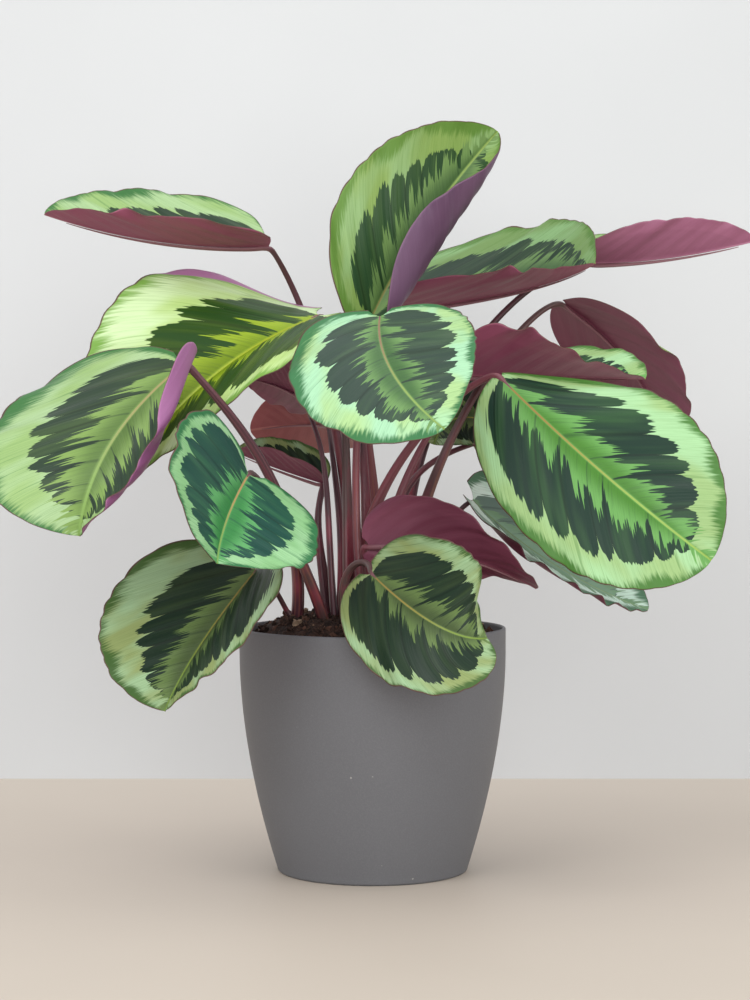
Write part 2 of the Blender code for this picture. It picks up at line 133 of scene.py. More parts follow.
LEAVES = [
    Leaf("high_left", (-88, 52, 522), (-181, 27, 524), (-272, 1, 544), (0.05, -0.15, 1), (48, 60),
        lift=(25, 35), curl=(10, 15), foot=(-14, 50), rise=(-20, 59, 375), reach=(-62, 144, 487),
        belly=0.44, top="olive", under="maroon_lit", lobe=0, frill=3, bands=(0.34, 0.34), lean=0.5),
    Leaf("wide_left", (-45, 31, 462), (-134, -4, 408), (-205, -32, 324), (-0.1, -0.9, 0.45), (76, 108),
        lift=(45, (-37, 12, 5)), curl=(-5, (-38, 0, -15)), foot=(-18, 4), rise=(-24, 1, 333),
        reach=(-18, 53, 454), belly=0.41, top="lime", under="mauve", lobe=0.06, frill=2.5,
        bands=(0.26, 0.42), plume=0.16, lean=0.5),
    Leaf("front_left", (-147, -94, 418), (-202, -133, 355), (-225, -146, 283), (-0.1, -0.75, 0.65),
        (74, 134), lift=((24, -32, 56), (-15, -13, 15)), curl=((150, 134, 65), (-5, -12, -5)),
        foot=(-62, -5), rise=(-50, -40, 321), reach=(-128, -82, 393), belly=0.45, top="olive",
        under="mauve", lobe=0.04, stalk=(6, 2.6), bands=(0.22, 0.4), plume=0.18, lean=0.56),
    Leaf("crown_top", (-2, 47, 459), (44, 68, 541), (106, 50, 619), (0.05, -1, 0.1), (77, 86),
        lift=((42, 15, 25), (20, 15, 20)), curl=(5, (150, 160, 135)), foot=(-4, 16), rise=(-1, 22, 338),
        reach=(-21, 33, 411), belly=0.47, top="sage", under="violet", lobe=0.09, frill=2.5,
        bands=(0.38, 0.3), plume=0.24, lean=0.5),
    Leaf("upper_right", (10, 129, 470), (128, 114, 488), (191, 72, 509), (-0.55, -0.15, 0.8), (86, 63),
        lift=(35, 25), curl=(-15, 15), foot=(3, 30), rise=(12, 40, 342), reach=(-31, 100, 428), belly=0.44,
        top="sage_shaded", under="maroon_lit", frill=3.5, bands=(0.3, 0.3), plume=0.36, lean=0.6),
    Leaf("high_right", (189, 140, 514), (262, 130, 518), (335, 110, 531), (0, -0.15, 1), (49, 39),
        lift=((45, 12, 15), (40, 60, 70)), curl=(5, 10), foot=(28, 48), rise=(12, 88, 365),
        reach=(115, 197, 503), belly=0.43, top="sage", under="plum", lobe=0.06, frill=3),
    Leaf("mid_right", (77, 25, 411), (153, 27, 410), (226, -3, 408), (-0.55, -0.1, 0.8), (60, 79),
        lift=(20, 35), curl=(-15, 5), foot=(10, 8), rise=(0, 10, 308), reach=(55, 22, 371), belly=0.38,
        top="mint", under="maroon_lit", lobe=0.08, bands=(0.3, 0.34)),
    Leaf("back_right", (171, 144, 477), (234, 164, 420), (264, 166, 347), (0.65, 0.6, 0.45), (68, 73),
        lift=(15, -10), curl=(-25, -10), foot=(25, 20), rise=(30, 55, 335), reach=(141, 134, 493),
        belly=0.53, top="sage", lobe=0.04, stalk=(4.8, 2.2)),
    Leaf("front_centre", (6, -45, 457), (15, -115, 411), (55, -160, 365), (-0.15, -0.7, 0.7), (72, 78),
        lift=(10, 10), curl=(0, -15), foot=(-7, -12), rise=(-21, -10, 338), reach=(-10, -1, 440),
        belly=0.48, top="moss", bands=(0.24, 0.34), lean=0.28),
    Leaf("front_right", (103, -50, 408), (179, -88, 334), (267, -102, 262), (-0.1, -0.9, 0.45), (82, 79),
        lift=((-35, 5, 15), 0), curl=((-20, -10, 0), -15), foot=(-4, 2), rise=(-36, 4, 308),
        reach=(82, -29, 418), belly=0.55, top="mint", lobe=0.02, frill=2.5, stalk=(5, 2.6),
        bands=(0.3, 0.25), plume=0.2),
    Leaf("low_right", (85, 50, 306), (155, 59, 251), (235, 51, 212), (0.45, -0.2, 0.85), (62, 53),
        lift=(25, -10), curl=(10, 30), foot=(44, 14), rise=(46, 14, 256), reach=(58, 53, 288), belly=0.39,
        top="frost_lit", ripples=5, stalk=(3.6, 1.8), bands=(0.5, 0.74)),
    Leaf("inner_left", (-97, -111, 330), (-111, -157, 296), (-117, -182, 264), (0.45, -0.55, 0.7), (74, 84),
        lift=(0, 40), curl=(5, -5), foot=(-39, -16), rise=(-58, -31, 266), reach=(-93, -72, 338),
        belly=0.44, top="cool", frill=3.5, stalk=(6, 2.4), bands=(0.32, 0.18), plume=0.23, lean=0.16),
    Leaf("low_left", (-93, -63, 253), (-135, -105, 196), (-160, -143, 148), (-0.4, -0.75, 0.5), (66, 86),
        lift=(40, 10), curl=(-30, 30), foot=(-66, -14), rise=(-77, -8, 225), reach=(-81, -45, 245),
        belly=0.45, top="deep", lobe=0.06, frill=3, stalk=(2.6, 1.8), bands=(0.16, 0.38), plume=0.19,
        lean=0.62),
    Leaf("low_centre", (-1, -86, 251), (48, -152, 216), (88, -151, 205), (-0.2, -0.8, 0.55), (63, 59),
        lift=(25, 0), curl=(20, 0), foot=(-21, -36), rise=(-33, -42, 262), reach=(0, -53, 266), belly=0.5,
        top="deep", stalk=(4, 2.2), bands=(0.26, 0.16), plume=0.2, lean=0.5),
    Leaf("under_right", (-3, -30, 269), (66, -45, 264), (134, -35, 236), (0.95, 0.3, 0.05), (29, 46),
        lift=(0, 5), curl=(-5, -5), foot=(-5, -22), rise=(10, -15, 249), reach=(-17, -25, 272), belly=0.43,
        top="sage", lobe=0.04, frill=3, stalk=(4, 2.2)),
    Leaf("back_left", (-38, 100, 370), (-65, 132, 371), (-109, 144, 366), (0.1, 0.8, 0.6), (37, 45),
        lift=(10, 5), curl=(15, 20), foot=(-26, 30), rise=(-23, 41, 281), reach=(-34, 56, 333), belly=0.42,
        top="sage", under="rose", frill=2, ripples=2, stalk=(4, 2)),
    Leaf("slim_left", (-41, 40, 320), (-81, 50, 333), (-117, 50, 347), (0, -0.2, 1), (26, 30),
        lift=(50, 50), curl=(0, 0), foot=(-36, 26), rise=(-46, 30, 273), reach=(-50, 27, 292), belly=0.42,
        top="deep", lobe=0.02, frill=1.5, ripples=2, stalk=(4.6, 2.4)),
    Leaf("hidden_left", (-61, 40, 394), (-85, 54, 405), (-109, 60, 410), (0, 0.7, 0.7), (33, 34),
        lift=(10, 10), curl=(0, 0), foot=(-31, -6), rise=(-40, -4, 307), reach=(-32, 12, 344), belly=0.42,
        top="sage", frill=2, ripples=2, stalk=(3.6, 1.8)),
    Leaf("back_centre", (113, 106, 368), (74, 99, 376), (53, 90, 353), (0.05, -0.8, 0.6), (48, 57),
        lift=(10, 10), curl=(0, 0), foot=(31, 38), rise=(-21, 45, 365), reach=(113, 117, 345), belly=0.42,
        top="deep", frill=2, ripples=2, stalk=(3.6, 1.8)),
]
for order, one in enumerate(LEAVES, 1):
    one.seed = order


def paint(red, green, blue):
    """A colour from the usual 0 to 255 numbers, as the linear values that shaders use."""
    shares = (red / 255, green / 255, blue / 255)
    return tuple(s / 12.92 if s <= 0.04045 else ((s + 0.055) / 1.055) ** 2.4 for s in shares)


# Finishes, in 0 to 255 numbers.  Upper side: pale band, its shaded side, dark lobes, feather, feather tips,
# midrib at the base and at the tip, green by the margin
TOPS = {
    "mint": ((166, 210, 156), (156, 190, 126), (18, 50, 37), (72, 128, 44), (106, 164, 86), (152, 122, 66),
             (150, 182, 88), (66, 118, 44)),
    "moss": ((166, 214, 174), (170, 206, 142), (46, 67, 56), (68, 106, 58), (108, 148, 86), (142, 112, 88),
             (134, 162, 86), (42, 108, 60)),
    "lime": ((210, 236, 182), (184, 214, 132), (34, 70, 18), (112, 138, 14), (150, 176, 44),
             (156, 168, 44), (164, 186, 66), (112, 160, 60)),
    "olive": ((166, 196, 144), (150, 182, 114), (37, 59, 41), (92, 122, 60), (128, 160, 84),
              (164, 150, 100), (134, 168, 90), (48, 108, 52)),
    "cool": ((156, 204, 152), (138, 190, 132), (32, 76, 66), (58, 134, 70), (96, 168, 102),
             (190, 154, 104), (130, 170, 90), (38, 108, 64)),
    "sage": ((150, 184, 124), (142, 172, 94), (48, 78, 48), (88, 118, 72), (122, 154, 92), (140, 136, 80),
             (150, 176, 96), (100, 140, 60)),
    # sage_shaded is sage painted darker: painted shade on upper_right, which faces up into the light
    "sage_shaded": ((134, 174, 118), (116, 148, 88), (34, 58, 42), (74, 106, 64), (104, 138, 82), (130, 128, 76),
             (134, 160, 88), (80, 122, 48)),
    "deep": ((154, 186, 142), (140, 156, 98), (22, 44, 29), (72, 90, 52), (98, 122, 68), (150, 130, 70),
             (120, 146, 62), (58, 92, 38)),
    # frost_lit is painted lighter than the leaf's own colour: painted light that makes up for the shade
    # front_right casts on low_right
    "frost_lit": ((228, 252, 238), (214, 244, 226), (108, 134, 122), (136, 172, 144), (122, 162, 122),
              (130, 150, 106), (150, 176, 132), (70, 118, 84)),
}

# Under side: ground, the lighter veins and the midrib
UNDERS = {
    "maroon": ((112, 54, 74), (130, 68, 90), (142, 84, 100)),
    # maroon_lit is maroon painted lighter: painted light on the under sides of high_left, upper_right and
    # mid_right, which face down into shade
    "maroon_lit": ((142, 70, 98), (156, 82, 110), (164, 98, 118)),
    "mauve": ((156, 98, 146), (168, 108, 156), (168, 112, 150)),
    "plum": ((150, 88, 116), (166, 104, 132), (176, 116, 142)),
    "violet": ((90, 58, 88), (114, 82, 112), (128, 92, 122)),
    "rose": ((144, 74, 78), (160, 92, 94), (176, 112, 106)),
}

# Stalks: ground, its streaks, a rosy kind, a dull kind, hairlines, red and straw low down, the midrib
STALK_TONES = ((56, 32, 40), (100, 58, 68), (150, 80, 92), (96, 82, 72), (122, 86, 88), (146, 60, 76),
               (150, 98, 66), (128, 84, 92))

# Soil: wet and dry peat, grit, bark and straw
SOIL_TONES = ((26, 18, 15), (62, 45, 38), (112, 84, 66), (98, 70, 58), (156, 134, 112))

MARGIN_TONE = (96, 70, 62)
TURNED_TONE = (172, 112, 156)   # the under side's colour, painted where a blade's corner would be folded over
DUST_TONE = (200, 196, 190)


class Value:
    """One shader socket, so that shader maths reads as arithmetic."""

    def __init__(self, graph, socket):
        self.graph = graph
        self.socket = socket

    def __add__(self, other):
        return self.graph.maths('ADD', self, other)

    def __sub__(self, other):
        return self.graph.maths('SUBTRACT', self, other)

    def __rsub__(self, other):
        return self.graph.maths('SUBTRACT', other, self)

    def __mul__(self, other):
        return self.graph.maths('MULTIPLY', self, other)

    def __truediv__(self, other):
        return self.graph.maths('DIVIDE', self, other)

    def __pow__(self, other):
        return self.graph.maths('POWER', self, other)

    __radd__ = __add__
    __rmul__ = __mul__


class Graph:
    """A Principled material under construction."""

    def __init__(self, name, gloss=0.5):
        self.material = bpy.data.materials.new(name)
        self.material.use_nodes = True
        self.tree = self.material.node_tree
        self.shader = self.tree.nodes["Principled BSDF"]
        self.shader.inputs["Specular IOR Level"].default_value = gloss

    def feed(self, socket, value):
        """Link a value into a socket, or set the socket to a number or a colour."""
        if isinstance(value, Value):
            self.tree.links.new(value.socket, socket)
        elif isinstance(value, tuple) and socket.type == 'RGBA':
            socket.default_value = (*value, 1.0)
        else:
            socket.default_value = value

    def node(self, kind, settings, sockets, output=0):
        """Add one node: its type, its settings, then the values or links of its sockets."""
        node = self.tree.nodes.new(kind)
        for name, value in settings.items():
            setattr(node, name, value)
        for key, value in sockets.items():
            self.feed(node.inputs[key], value)
        return Value(self, node.outputs[output])

    def maths(self, operation, first, second=0.0):
        """One Math node."""
        return self.node('ShaderNodeMath', {"operation": operation}, {0: first, 1: second})

    def step(self, value, start, end):
        """A smooth change from 0 to 1 as the value goes from start to end."""
        return self.node('ShaderNodeMapRange', {"interpolation_type": 'SMOOTHSTEP'},
                         {0: value, 1: start, 2: end})

    def vector(self, x, y, z):
        """One vector from three numbers."""
        return self.node('ShaderNodeCombineXYZ', {}, {0: x, 1: y, 2: z})

    def noise(self, place, scale=1.0, detail=2.0):
        """Soft noise, about 0.2 to 0.8."""
        return self.node('ShaderNodeTexNoise', {}, {"Vector": place, "Scale": scale, "Detail": detail})

    def ridge(self, place):
        """Noise folded into sharp crests, which reach 1."""
        away = self.maths('ABSOLUTE', self.noise(place, detail=0.0) - 0.5)
        return 1 - self.maths('MINIMUM', away * 4.0, 1.0)

    def mix(self, share, first, second):
        """Blend two colours."""
        return self.node('ShaderNodeMix', {"data_type": 'RGBA'}, {0: share, 6: first, 7: second},
                         output=2)

    def parts(self, name):
        """The three numbers of a vertex attribute."""
        read = self.node('ShaderNodeAttribute', {"attribute_name": name}, {}, output="Vector")
        split = self.node('ShaderNodeSeparateXYZ', {}, {0: read}).socket.node
        return [Value(self, output) for output in split.outputs]

    def bump(self, height, strength, distance):
        """Relief for the shader's normal."""
        normal = self.node('ShaderNodeBump', {},
                           {"Height": height, "Strength": strength, "Distance": distance})
        self.feed(self.shader.inputs["Normal"], normal)

    def finish(self, colour, roughness):
        """Feed the shader and give the material back."""
        self.feed(self.shader.inputs["Base Color"], colour)
        self.feed(self.shader.inputs["Roughness"], roughness)
        return self.material


def blade_places(graph):
    """Where a place lies on its blade, and a number of its own for each half of each blade.

    The attribute "veins" holds the place's vein, which is the share of the length where its
    lateral vein leaves the midrib, its distance from the midrib as a share of the half
    width, negative on the left, and the leaf's seed.
    """
    vein, across, seed = graph.parts("veins")
    side = graph.maths('SIGN', across)
    return vein, across, graph.maths('ABSOLUTE', across), side, seed, side * 3.1 + seed * 7.3


def leaf_top_material(finish):
    """Upper side of a blade: feather along the midrib, dark lobes, pale band and green margin.

    The attribute "zones" holds how far a place lies past the edge of the dark lobes and of
    the feather, and its distance from the margin, all as shares of the half width.
    """
    band, shade, dark, feather, light, rib_base, rib_tip, green = (paint(*c) for c in TOPS[finish])
    graph = Graph("leaf_top_" + finish, gloss=0.28)
    vein, across, reach, side, seed, strand = blade_places(graph)
    past_dark, past_feather, margin = graph.parts("zones")

    def strokes(density, spread=0.6):
        """A place in noise that is drawn out along the lateral veins."""
        return graph.vector(vein * density, reach * spread, strand)

    # the main lateral veins part the blade into segments, each with a dark lobe and a tuft
    waver = graph.noise(graph.vector(vein * 5.0, 0.5, strand), detail=0.0)
    phase = vein * 7.0 + waver * 1.6 + strand
    arch = graph.maths('ABSOLUTE', graph.maths('SINE', phase * math.pi))
    notch = arch ** 0.35 - 0.85

    # the dark lobes' ragged edge, which is smoother at the blade's base
    full = graph.step(vein, -0.06, 0.16) * 0.8 + 0.2
    teeth = graph.ridge(strokes(62.0)) - 0.4
    sprays = graph.noise(strokes(20.0), detail=1.0) - 0.5
    dark_edge = past_dark - (notch * 0.21 + sprays * 0.08) * full - teeth * 0.05
    lobes = graph.step(dark_edge, 0.007, -0.007)

    # feather: tufts of sharp rays that run out along the veins
    rays = graph.ridge(strokes(24.0)) ** 1.6 - 0.35
    hairs = graph.ridge(strokes(78.0, 1.2)) ** 1.6 - 0.4
    tufts = arch ** 0.8 - 0.64
    feather_edge = past_feather - (tufts * 0.17 + rays * 0.17 + hairs * 0.11) * full
    plume = graph.step(feather_edge, 0.010, -0.012)

    # pale band: brushed along the veins, with thin green vein lines
    wash = graph.noise(graph.vector(vein * 4.0, reach * 2.0, strand), detail=2.0)
    brush = graph.noise(strokes(150.0, 4.0), detail=2.0)
    lines = graph.step(graph.ridge(strokes(36.0, 0.5)), 0.93, 0.99)
    pale = graph.mix(graph.step(wash, 0.38, 0.62), band, shade)
    pale = graph.mix(graph.step(brush, 0.42, 0.72) * 0.18, pale, green)
    pale = graph.mix(lines * 0.40, pale, green)

    # green that is hatched in from the margin, in patches
    patch = graph.noise(graph.vector(vein * 3.4, side * 2.0, seed * 3.7), detail=1.0)
    hatch = graph.noise(strokes(90.0, 7.0), detail=3.0) - 0.5
    inward = margin / (margin + past_dark)
    fringe = inward - hatch * 0.75 - graph.step(patch, 0.38, 0.66) * 0.34
    pale = graph.mix(graph.step(fringe, 0.26, -0.08) * 0.95, pale, green)

    # dark ground, darker along the main veins, with a painted sheen of lighter streaks between them
    sheen_streaks = graph.noise(strokes(14.0, 1.0), detail=2.0)
    deep = graph.mix(graph.step(sheen_streaks, 0.40, 0.80) * 0.18, dark, light)
    deep = graph.mix(graph.step(arch, 0.30, 0.03) * 0.50, deep, tuple(c * 0.40 for c in dark))
    bright = graph.mix(graph.step(past_feather, -0.14, 0.06), feather, light)
    bright = graph.mix(graph.step(brush, 0.45, 0.75) * 0.22, bright, dark)
    bright = graph.mix(graph.step(arch, 0.22, 0.02) * 0.45, bright, dark)

    colour = graph.mix(lobes, pale, deep)
    colour = graph.mix(plume, colour, bright)
    rib = graph.mix(graph.step(vein, 0.1, 0.75), rib_base, rib_tip)
    colour = graph.mix(graph.step(reach, 0.028, 0.012) * 0.5, colour, light)
    colour = graph.mix(graph.step(reach, 0.015, 0.007), colour, rib)
    colour = graph.mix(graph.step(margin, 0.016, 0.005), colour, paint(*MARGIN_TONE))
    if finish == "lime":
        # the right corner at this blade's base is painted in the under side's colour, as if it were folded
        # over
        folded = graph.step(vein, -0.08, -0.20) * graph.step(across, 0.0, 0.1) * 0.11
        colour = graph.mix(graph.step(margin - folded, 0.0, -0.02), colour, paint(*TURNED_TONE))
    roughness = graph.noise(strokes(30.0, 3.0), detail=1.0) * 0.22 + lobes * -0.06 + 0.36
    graph.bump(graph.noise(strokes(85.0, 1.0), detail=2.0) + graph.ridge(strokes(42.0, 0.5)) * -0.6,
               0.30, 0.0006)
    return graph.finish(colour, roughness)


def leaf_under_material(finish):
    """Under side of a blade: satin maroon with lighter lateral veins."""
    ground, veins, rib = (paint(*tone) for tone in UNDERS[finish])
    graph = Graph("leaf_under_" + finish, gloss=0.45)
    vein, _, reach, _, _, strand = blade_places(graph)
    past_dark, _, margin = graph.parts("zones")
    lines = graph.ridge(graph.vector(vein * 30.0, reach * 0.5, strand))
    fine = graph.noise(graph.vector(vein * 130.0, reach * 3.0, strand), detail=2.0)
    cloud = graph.noise(graph.vector(vein * 4.0, reach * 2.0, strand), detail=2.0)
    colour = graph.mix(graph.step(cloud, 0.3, 0.7) * 0.6, ground, veins)
    colour = graph.mix(graph.step(fine, 0.4, 0.7) * 0.12, colour, veins)
    colour = graph.mix(graph.step(past_dark, 0.02, -0.04) * 0.14, colour, tuple(c * 0.5 for c in ground))
    colour = graph.mix(graph.step(lines, 0.88, 0.99) * 0.28, colour, veins)
    colour = graph.mix(graph.step(reach, 0.034, 0.014), colour, rib)
    colour = graph.mix(graph.step(margin, 0.018, 0.004) * 0.7, colour, rib)
    graph.bump(lines * 0.6 + fine, 0.25, 0.0006)
    return graph.finish(colour, cloud * 0.2 + 0.36)


def stalk_material():
    """Leaf stalk: polished maroon brown, streaked red and olive low down by its sheath."""
    graph = Graph("stalk_skin", gloss=0.5)
    ground, streaky, rosy, dull, hairline, red, straw, rib = (paint(*tone) for tone in STALK_TONES)
    run, around, seed = graph.parts("skin")
    streaks = graph.noise(graph.vector(around * 9.0, run * 1.6, seed * 5.1), detail=2.0)
    fine = graph.noise(graph.vector(around * 40.0, run * 5.0, seed * 2.3), detail=2.0)
    cloud = graph.noise(graph.vector(around * 1.0, run * 4.0, seed * 9.7), detail=2.0)
    low = graph.step(run, 0.60, 0.05)
    own = graph.noise(graph.vector(seed * 3.7, 0.5, 0.5), detail=0.0)
    colour = graph.mix(graph.step(streaks, 0.35, 0.70), ground, streaky)
    colour = graph.mix(graph.step(own, 0.50, 0.60) * 0.55, colour, rosy)
    colour = graph.mix(graph.step(own, 0.46, 0.36) * 0.45, colour, dull)
    colour = graph.mix(graph.step(fine, 0.45, 0.75) * 0.35, colour, hairline)
    colour = graph.mix(graph.step(cloud, 0.46, 0.64) * low, colour, red)
    colour = graph.mix(graph.step(streaks, 0.56, 0.70) * low * 0.7, colour, straw)
    colour = graph.mix(graph.step(run, 0.97, 1.01), colour, rib)
    graph.bump(streaks + fine * 0.5, 0.30, 0.0006)
    return graph.finish(colour, fine * 0.25 + 0.26)


def planter_material(settings):
    """Moulded matte plastic: a fine grain, faint marbling and a few pale specks of dust."""
    graph = Graph("planter_plastic", gloss=0.4)
    place = graph.node('ShaderNodeTexCoord', {}, {}, output="Object")
    grain = graph.noise(place, scale=900.0, detail=3.0)
    marble = graph.noise(place, scale=14.0, detail=3.0)
    dust = graph.node('ShaderNodeTexVoronoi', {}, {"Vector": place, "Scale": 95.0})
    chance = graph.noise(place, scale=38.0, detail=0.0)
    specks = graph.step(dust, 0.09, 0.05) * graph.step(chance, 0.66, 0.70)
    base = tuple(settings.colour)
    colour = graph.mix(graph.step(marble, 0.3, 0.7) * 0.35, base, tuple(c * 1.12 for c in base))
    colour = graph.mix(graph.step(grain, 0.4, 0.7) * 0.22, colour, tuple(c * 1.5 for c in base))
    colour = graph.mix(specks * 0.5, colour, paint(*DUST_TONE))
    graph.bump(grain, 0.22, 0.0004)
    return graph.finish(colour, marble * 0.14 + 0.46)


def soil_material():
    """Damp potting soil: dark peat with rusty and straw coloured bits."""
    graph = Graph("soil_peat", gloss=0.25)
    wet, dry, gritty, bark, straw = (paint(*shade) for shade in SOIL_TONES)
    kind, _, rough = graph.parts("tone")
    place = graph.node('ShaderNodeTexCoord', {}, {}, output="Object")
    clods = graph.noise(place, scale=160.0, detail=4.0)
    grit = graph.noise(place, scale=700.0, detail=3.0)
    colour = graph.mix(graph.step(clods, 0.35, 0.65), wet, dry)
    colour = graph.mix(graph.step(grit, 0.52, 0.72) * 0.55, colour, gritty)
    colour = graph.mix(graph.step(kind, 0.62, 0.85) * 0.75, colour, bark)
    colour = graph.mix(graph.step(kind, 0.93, 0.96) * 0.9, colour, straw)
    graph.bump(clods + grit * 0.6, 0.8, 0.0015)
    return graph.finish(colour, rough * 0.1 + 0.80)


def plain_material(name, colour, roughness, one_way=False):
    """Matte paint with a faint cloud; a backdrop can be seen from its front only."""
    graph = Graph(name)
    place = graph.node('ShaderNodeTexCoord', {}, {}, output="Object")
    cloud = graph.noise(place, scale=3.0, detail=2.0)
    darker = tuple(c * 0.97 for c in colour)
    if one_way:
        behind = graph.node('ShaderNodeNewGeometry', {}, {}, output="Backfacing")
        clear = graph.node('ShaderNodeBsdfTransparent', {}, {})
        front = Value(graph, graph.shader.outputs[0])
        surface = graph.node('ShaderNodeMixShader', {}, {0: behind, 1: front, 2: clear})
        graph.feed(graph.tree.nodes["Material Output"].inputs["Surface"], surface)
    return graph.finish(graph.mix(graph.step(cloud, 0.3, 0.7), colour, darker), roughness)


def unit(vectors):
    """Scale each vector to length one."""
    return vectors / np.linalg.norm(vectors, axis=-1, keepdims=True)


def along(value, t):
    """One number, or three that a parabola joins at the base, the middle and the tip."""
    if isinstance(value, (int, float)):
        return np.full_like(t, float(value))
    base, middle, tip = value
    return base * (1 - t) * (1 - 2 * t) + middle * 4 * t * (1 - t) + tip * t * (2 * t - 1)


def half_outline(t, belly):
    """Share of the full half width along the blade: blunt base, pointed tip."""
    # from -1 at the base to 1 at the tip, and 0 where the blade is widest
    u = 2 * np.clip(t, 0, 1) ** (math.log(0.5) / math.log(belly)) - 1
    base_half = (1 - np.abs(u) ** BASE_BLUNTNESS) ** (1 / BASE_BLUNTNESS)
    tip_half = (1 - u ** 2) ** (1 / TIP_SHARPNESS)
    return np.where(u < 0, base_half, tip_half)


def hump(t, rise, fall):
    """A smooth hill over 0 to 1 that peaks at 1; low exponents make its ends blunt."""
    t = np.clip(t, 0, 1)
    peak = rise / (rise + fall)
    return (t / peak) ** rise * ((1 - t) / (1 - peak)) ** fall


def midrib(leaf, t):
    """Points, forward directions and upward directions along a blade's midrib."""
    base, middle, tip = (np.array(point, float) for point in (leaf.base, leaf.middle, leaf.tip))
    pull = 2 * middle - (base + tip) / 2
    points = np.outer((1 - t) ** 2, base) + np.outer(2 * t * (1 - t), pull) + np.outer(t ** 2, tip)
    forward = unit(np.outer(1 - t, pull - base) + np.outer(t, tip - pull))
    face = np.array(leaf.face, float)
    up = unit(face - (forward @ face)[:, None] * forward)
    return points, forward, up


def blade_relief(leaf, settings, t, vein, share, width, turns):
    """How far a row's place is lifted off the smooth blade, and how far out it is pushed."""
    phase, drift, size = turns
    run = 2 * np.pi * leaf.ripples * vein
    waves = np.sin(run + phase) + 0.45 * np.sin(1.7 * run + drift)
    waves = waves * (0.65 + 0.35 * np.sin(3.1 * np.pi * t + size))
    swells = np.sin(np.pi * settings.folds * vein + phase) ** 2 - 0.5
    lifted = (leaf.frill * waves * share ** 3 * width
              + settings.quilting * swells * np.sin(np.pi * share ** 0.8) * width
              - settings.groove * np.exp(-(share / GROOVE_SHARE) ** 2))
    pushed = 1 + settings.scallop * share ** 6 * (np.abs(np.sin(run * 1.5 + drift)) - 0.6)
    return lifted[:, None], pushed[:, None]


def blade_surface(leaf, settings):
    """Points of the blade, with the vein and the zone numbers that its finish reads."""
    rows, columns = settings.rows, settings.columns
    t = FIRST_ROW + (LAST_ROW - FIRST_ROW) * (1 - np.cos(np.pi * np.arange(rows) / (rows - 1))) / 2
    points, forward, up = midrib(leaf, t)
    across = np.cross(forward, up)
    width = half_outline(t, leaf.belly)
    length = np.linalg.norm(np.diff(points, axis=0), axis=1).sum()
    lobes = half_outline((t - DARK_START) / DARK_LENGTH, leaf.belly)
    feather = leaf.plume * hump((t - PLUME_START) / PLUME_LENGTH, 1.0, 0.8)
    grid = np.zeros((rows, 2 * columns + 1, 3))
    veins = np.zeros_like(grid)
    zones = np.zeros_like(grid)
    rng = np.random.default_rng(leaf.seed)
    for side, sign in ((0, -1), (1, 1)):
        lift = np.radians(along(leaf.lift[side], t))
        curl = np.radians(along(leaf.curl[side], t))
        turns = rng.uniform(0, 2 * np.pi, 3)
        dark = lobes - leaf.bands[side] * width ** 0.4
        out = np.zeros((2, rows, 1))
        for column in range(columns + 1):
            share = column / columns
            slope = lift
            if column:
                # the cross section is laid out in short straight lengths
                slope = lift + curl * (share - 0.5 / columns) * (EVEN_CURL + (1 - EVEN_CURL) * width)
                step = np.array([np.cos(slope), np.sin(slope)]) * leaf.halves[side] * width / columns
                out += step[..., None]
            vein = t - leaf.lean * share ** 1.2 * width
            back = (leaf.lobe * length * share ** 2 * (1 - t) ** 3)[:, None]
            lifted, pushed = blade_relief(leaf, settings, t, vein, share, width, turns)
            facing = np.cos(slope)[:, None] * up - sign * np.sin(slope)[:, None] * across
            beside, above = out * pushed
            # both halves share the midrib, which the right one sets
            index = columns + sign * column
            grid[:, index] = (points + sign * beside * across + above * up
                              - back * forward + lifted * facing)
            reach = share * width
            veins[:, index] = np.stack([vein, sign * reach, np.full(rows, float(leaf.seed))], -1)
            zones[:, index] = np.stack([reach - dark, reach - feather, (1 - share) * width], -1)
    return grid, veins, zones


def begin():
    """Leave nothing selected, so that the next operator acts on the new piece alone."""
    if bpy.context.mode != 'OBJECT':
        bpy.ops.object.mode_set(mode='OBJECT')
    bpy.ops.object.select_all(action='DESELECT')


def face_outwards():
    """Turn all faces of the piece in edit mode outwards, and leave edit mode."""
    bpy.ops.mesh.select_all(action='SELECT')
    bpy.ops.mesh.normals_make_consistent(inside=False)
    bpy.ops.object.mode_set(mode='OBJECT')


def sheet_from_grid(name, points, wrap=False, **numbers):
    """A primitive grid whose vertices are moved to rows of points, with their attributes.

    Wrapping closes it into a tube along the last column and caps the tube's ends.
    """
    rows, columns = points.shape[:2]
    begin()
    bpy.ops.mesh.primitive_grid_add(x_subdivisions=columns - 1, y_subdivisions=rows - 1, size=1)
    piece = bpy.context.object
    piece.name = piece.data.name = name
    mesh = piece.data
    flat = np.empty(len(mesh.vertices) * 3)
    mesh.vertices.foreach_get("co", flat)
    corners = np.round(flat.reshape(-1, 3), 5)
    order = np.lexsort((corners[:, 0], corners[:, 1]))
    placed = np.empty_like(corners)
    placed[order] = points.reshape(-1, 3)
    mesh.vertices.foreach_set("co", placed.ravel())
    for label, values in numbers.items():
        ordered = np.empty_like(corners)
        ordered[order] = values.reshape(-1, 3)
        layer = mesh.attributes.new(label, 'FLOAT_VECTOR', 'POINT')
        layer.data.foreach_set("vector", ordered.ravel())
    if wrap:
        bpy.ops.object.mode_set(mode='EDIT')
        bpy.ops.mesh.select_all(action='SELECT')
        bpy.ops.mesh.remove_doubles(threshold=1e-6)
        bpy.ops.mesh.select_all(action='DESELECT')
        bpy.ops.mesh.select_non_manifold()
        bpy.ops.mesh.fill_holes(sides=0)
        bpy.ops.object.mode_set(mode='OBJECT')
    mesh.update()
    bpy.ops.object.shade_smooth()
    piece.location = (0, 0, 0)
    return piece


def settle(piece, node):
    """Parent a finished piece to its body and hide the node that it stands for."""
    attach(piece, BODY)
    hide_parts(node)


